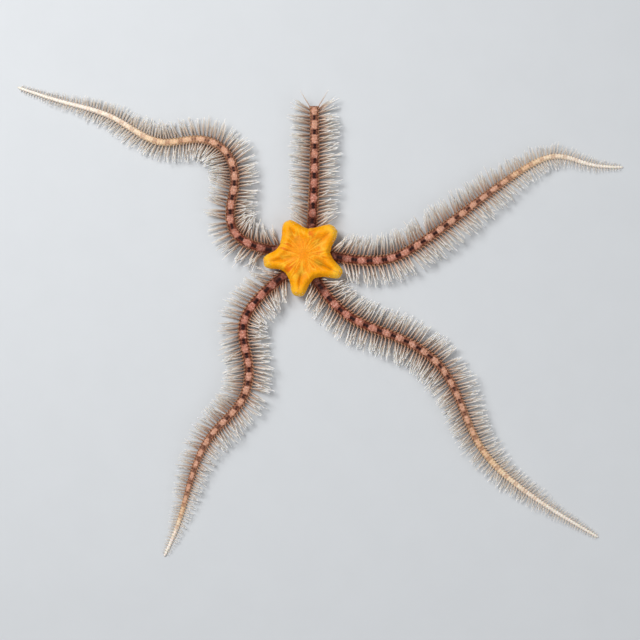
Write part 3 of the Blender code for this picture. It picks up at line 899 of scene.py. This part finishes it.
def build_spines(arm, looks, material, flank, name):
    """The spines of one flank of an arm: a leaning fan of them on every side plate."""
    rng = np.random.default_rng(arm.seed * 2 + (flank > 0))
    distance, rank, clump = spine_stands(arm, looks.rows, rng)
    count, share = len(distance), distance / arm.whole
    turn = flank * np.radians(ROOT_TURNS[0] + (ROOT_TURNS[1] - ROOT_TURNS[0]) * rank)
    roots = arm.surface(distance, turn, 0.05 * MM)
    along = arm.midline.direction(distance)
    out = flank * np.stack([-along[:, 1], along[:, 0]], axis=-1)
    half, _ = arm.section(share)
    fade = arm.fade((share - 0.35) / 0.65)
    reach = looks.reach + (looks.tip_reach - looks.reach) * fade

    rake = math.radians(8) + math.radians(32) * bell(distance, 4 * MM) + clump
    rake = rake + rng.normal(0, math.radians(4), count)
    if arm.broken:
        rake = rake + math.radians(28) * ramp(distance, arm.midline.length - 2.4 * MM, arm.midline.length)
    lean = np.radians(np.interp(rank, RANKS, LEANS)) + rng.normal(0, math.radians(3.5), count)
    lengths = (reach - half) * np.interp(rank, RANKS, SIZES) * rng.normal(1, 0.09, count)
    if arm.broken:
        lengths[-1] = 3.9 * MM
    # The least lean that keeps a spine's tip over the floor
    least = np.arcsin(np.clip((0.2 * MM - roots[:, 2]) / lengths, -1, 1))
    lean = np.maximum(lean, least)
    flat = np.cos(rake)[:, None] * out + np.sin(rake)[:, None] * along
    ways = np.concatenate([np.cos(lean)[:, None] * flat, np.sin(lean)[:, None]], axis=1)
    lengths = clear_of_lobes(roots, ways, lengths, 1.95 * MM)

    widths = looks.width * (0.45 + 0.55 * (1 - fade)) * rng.uniform(0.88, 1.12, count)
    forward = np.concatenate([along, np.zeros((count, 1))], axis=1)
    hooked = np.where(rng.random(count) < 0.08, 0.14, 0) * rng.choice([-1, 1], count)
    sway = rng.normal(0, 0.015, (count, 3)) + np.array([0, 0, 0.02]) + hooked[:, None] * forward
    spots = np.stack([0.02 + 0.96 * distance / arm.midline.length, 0.5 + turn / math.tau * 0.9], axis=1)
    masks = {"pale": ramp(arm.late(share), 0.25, 0.6), "tone": rng.random(count)}
    keep = lengths > 0.28 * MM
    add_spines(
        f"arm_{arm.name}_spines_{name}", material, roots[keep], ways[keep], lengths[keep], widths[keep],
        (lengths[:, None] * sway)[keep], spots[keep], {key: value[keep] for key, value in masks.items()},
    )


# Mouth


def mouth_material(looks):
    """Granular limy plates, bare of pigment: matte and bright, with grains that catch the light."""
    material, tree, shader = start_material(
        "granular_white_plates", IOR=1.5, Subsurface_Weight=0.15, Subsurface_Scale=0.0004
    )
    place = add_node(tree, "ShaderNodeTexCoord", output="Object")
    cells = add_node(tree, "ShaderNodeTexVoronoi", {"Vector": place, "Scale": 1 / (0.13 * MM)})
    ends = {"Value": cells, "From Max": 0.7, "To Min": 1, "To Max": 0}
    grains = add_node(tree, "ShaderNodeMapRange", ends)
    colour = layer(tree, looks.plate, ("stain", looks.stain))
    shades = [(grains, 0.8, 1.0), (speckle(tree, 0.5 * MM), 0.92, 1.04)]
    finish_material(tree, shader, colour, shades, grains, (0.7, 0.5), 0.04 * MM)
    return material


def build_collar(looks, material):
    """The granular collar: a rounded ring whose corners run out under the arms."""
    spokes, steps, top = 300, 64, 1.62 * MM
    angles = np.linspace(0, math.tau, spokes, endpoint=False)
    share, *_ = round_the_disc(angles)
    starts = np.array([math.atan2(route[0][1], route[0][0]) for route in ROUTES.values()])
    off_arm = np.abs((angles[:, None] - starts + math.pi) % math.tau - math.pi).min(axis=1)
    toward_arm = ramp(off_arm, 0.52, 0.24)
    outer = looks.collar * (0.8 + 0.32 * ramp(off_arm, 0.46, 0.28))
    opening = looks.opening * (1 + 0.1 * toward_arm)
    bottom = (0.24 - 0.14 * toward_arm) * MM
    turn = np.linspace(0, math.tau, steps, endpoint=False)[:, None]
    radius = (outer + opening) / 2 + (outer - opening) / 2 * swell(np.cos(turn), 0.5)
    level = (top + bottom) / 2 + (top - bottom) / 2 * swell(np.sin(turn), 0.5)
    flat = radius[..., None] * unit(angles)
    space = np.concatenate([flat, level[..., None]], axis=-1) / MM

    lower = ramp(level, 0.9 * MM, 0.4 * MM)
    slit = bell(share - 1, 0.05) * ramp(radius, 2.3 * MM, 1.7 * MM) * lower
    pore = bell(share - 0.8, 0.1) * bell(radius - 2.25 * MM, 0.16 * MM) * lower
    grit = 0.05 * soft_noise(space, 0.45, 8) + 0.03 * soft_noise(space, 0.17, 7)
    level = level + (grit * lower + 0.18 * slit + 0.1 * pore) * MM
    inner_wall = bell(radius - opening, 0.2 * MM) * ramp(level, 0.35 * MM, 0.8 * MM)
    masks = {"stain": np.clip(inner_wall + 0.5 * slit + 0.3 * pore, 0, 1)}
    faces = [ring_quads(steps, spokes, closed=True)]
    piece = new_piece("oral_plates", solid_points(flat, level), faces, material, masks)
    place_piece(piece, ["oral_frame"])


def build_jaw(name, axis, notches, looks, material):
    """One jaw: a rounded wedge that points at the mouth's middle and fills its sector."""
    sides, rings, half_gap = 30, 30, math.radians(0.7)
    turn = np.linspace(0, math.tau, sides, endpoint=False)
    part = np.linspace(0, 1, rings)[:, None]
    reach = 0.12 * MM + (looks.opening + 0.02 * MM) * part
    before, after = notches
    slope = np.tan(np.where(np.cos(turn) > 0, after - axis, axis - before) - half_gap)
    half = reach * slope * (0.6 + 0.4 * quarter_round(part / 0.25))
    deep = 0.52 * MM * (0.5 + 0.5 * quarter_round(part / 0.3))
    side = half * swell(np.cos(turn), 0.4)
    level = 0.78 * MM + deep * swell(np.sin(turn), 0.6)
    flat = reach[..., None] * unit(axis) + side[..., None] * unit(axis + math.pi / 2)
    points = solid_points(flat, level)
    points = points + 0.03 * MM * soft_noise(points, 0.17 * MM, 9)[..., None]
    stain = np.broadcast_to(0.95 * ramp(part, 0.32, 0.12), level.shape)
    faces = [ring_quads(rings, sides), *end_caps(rings, sides)]
    piece = new_piece(f"jaw_{name}_plates", points, faces, material, {"stain": stain})
    place_piece(piece, [f"jaw_{name}"])


# Stage


def build_floor(looks):
    """A board under matte paint: soft shadows show on it, and no gloss."""
    material, tree, shader = start_material("matte_painted_board", Roughness=0.75)
    darker = [0.985 * c for c in looks.floor[:3]] + [1]
    tint = layer(tree, looks.floor, (speckle(tree, 8 * MM), darker))
    tree.links.new(tint, shader.inputs["Base Color"])
    half = 1.2
    corners = np.array([[-half, -half, 0], [half, -half, 0], [half, half, 0], [-half, half, 0]])
    new_piece("floor", corners, [np.arange(4)[None]], material)


def add_light(name, place, size, power):
    data = bpy.data.lights.new(name, "AREA")
    data.energy, data.size = power, size
    light = bpy.data.objects.new(name, data)
    light.location = place
    light.rotation_euler = (-Vector(place)).to_track_quat("-Z", "Y").to_euler()
    bpy.context.scene.collection.objects.link(light)


def add_camera(looks):
    """Looks straight down with a long lens, as the photograph does."""
    data = bpy.data.cameras.new("camera")
    data.lens, data.sensor_width = 85, 36
    data.clip_start, data.clip_end = 0.005, 10
    camera = bpy.data.objects.new("camera", data)
    camera.location = (0, 0, looks.view_width * data.lens / data.sensor_width)
    bpy.context.scene.collection.objects.link(camera)
    bpy.context.scene.camera = camera


# Operators


def all_looks(context):
    return context.scene.brittle_star_looks


def arm_nodes(name):
    """The row's nodes of one arm, whose name may also begin another arm's."""
    longer = tuple(f"arm_{other}_" for other in ROUTES if other.startswith(name + "_"))
    own = [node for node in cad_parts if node.startswith(f"arm_{name}_")]
    return [node for node in own if not node.startswith(longer)]


class BuildStage(bpy.types.Operator):
    """Make the floor, the lights and the camera"""

    bl_idname = "brittle_star.stage"
    bl_label = "Stage"

    def execute(self, context):
        looks = all_looks(context).stage
        build_floor(looks)
        add_light("key light", (-0.16, 0.14, 0.3), 0.16, looks.key)
        add_light("fill light", (0.2, -0.12, 0.26), 0.3, looks.fill)
        world = bpy.data.worlds.new("soft sky")
        world.use_nodes = True
        background = world.node_tree.nodes["Background"]
        background.inputs["Color"].default_value = hex_colour("#F2F3F5")
        background.inputs["Strength"].default_value = looks.sky
        context.scene.world = world
        context.scene.view_settings.view_transform = "Standard"
        add_camera(looks)
        return {"FINISHED"}


class BuildDisc(bpy.types.Operator):
    """Make the disc's one skin and its spinelets"""

    bl_idname = "brittle_star.disc"
    bl_label = "Disc"

    def execute(self, context):
        looks = all_looks(context)
        build_disc(looks.disc)
        build_spinelets(looks.disc, spine_material(looks.spine))
        return {"FINISHED"}


class BuildArms(bpy.types.Operator):
    """Make the plated arms"""

    bl_idname = "brittle_star.arms"
    bl_label = "Arms"

    def execute(self, context):
        looks = all_looks(context)
        material = arm_material(looks.arm)
        for name in ROUTES:
            build_arm(Arm(name, looks.arm), material, arm_nodes(name), looks.spine.rows)
        return {"FINISHED"}


class BuildSpines(bpy.types.Operator):
    """Make the fringes of spines"""

    bl_idname = "brittle_star.spines"
    bl_label = "Spines"

    def execute(self, context):
        looks = all_looks(context)
        material = spine_material(looks.spine)
        for name in ROUTES:
            arm = Arm(name, looks.arm)
            build_spines(arm, looks.spine, material, 1, "left")
            build_spines(arm, looks.spine, material, -1, "right")
        return {"FINISHED"}


class BuildMouth(bpy.types.Operator):
    """Make the collar and the jaws"""

    bl_idname = "brittle_star.mouth"
    bl_label = "Mouth"

    def execute(self, context):
        looks = all_looks(context).mouth
        material = mouth_material(looks)
        build_collar(looks, material)
        for name, axis, *notches in lobe_sectors():
            build_jaw(name, axis, notches, looks, material)
        return {"FINISHED"}


class BrittleStarLooks(bpy.types.PropertyGroup):
    """All sizes and colours of the model."""

    disc: bpy.props.PointerProperty(type=DiscLooks)
    arm: bpy.props.PointerProperty(type=ArmLooks)
    spine: bpy.props.PointerProperty(type=SpineLooks)
    mouth: bpy.props.PointerProperty(type=MouthLooks)
    stage: bpy.props.PointerProperty(type=StageLooks)


OPERATORS = (BuildStage, BuildDisc, BuildArms, BuildSpines, BuildMouth)


class BrittleStarPanel(bpy.types.Panel):
    """Lists the steps that build the model"""

    bl_idname = "VIEW3D_PT_brittle_star"
    bl_label = "Brittle Star"
    bl_space_type = "VIEW_3D"
    bl_region_type = "UI"
    bl_category = "Brittle Star"

    def draw(self, context):
        for operator in OPERATORS:
            self.layout.operator(operator.bl_idname)
        looks = all_looks(context)
        for group in (looks.disc, looks.arm, looks.spine, looks.mouth, looks.stage):
            box = self.layout.box()
            for name in group.__annotations__:
                box.prop(group, name)


LOOKS = (DiscLooks, ArmLooks, SpineLooks, MouthLooks, StageLooks, BrittleStarLooks)
CLASSES = (*LOOKS, *OPERATORS, BrittleStarPanel)


def register():
    for cls in CLASSES:
        bpy.utils.register_class(cls)
    bpy.types.Scene.brittle_star_looks = bpy.props.PointerProperty(type=BrittleStarLooks)


def unregister():
    del bpy.types.Scene.brittle_star_looks
    for cls in reversed(CLASSES):
        bpy.utils.unregister_class(cls)


def main():
    register()
    bpy.ops.brittle_star.stage()
    bpy.ops.brittle_star.disc()
    bpy.ops.brittle_star.arms()
    bpy.ops.brittle_star.spines()
    bpy.ops.brittle_star.mouth()


if __name__ == "__main__":
    main()
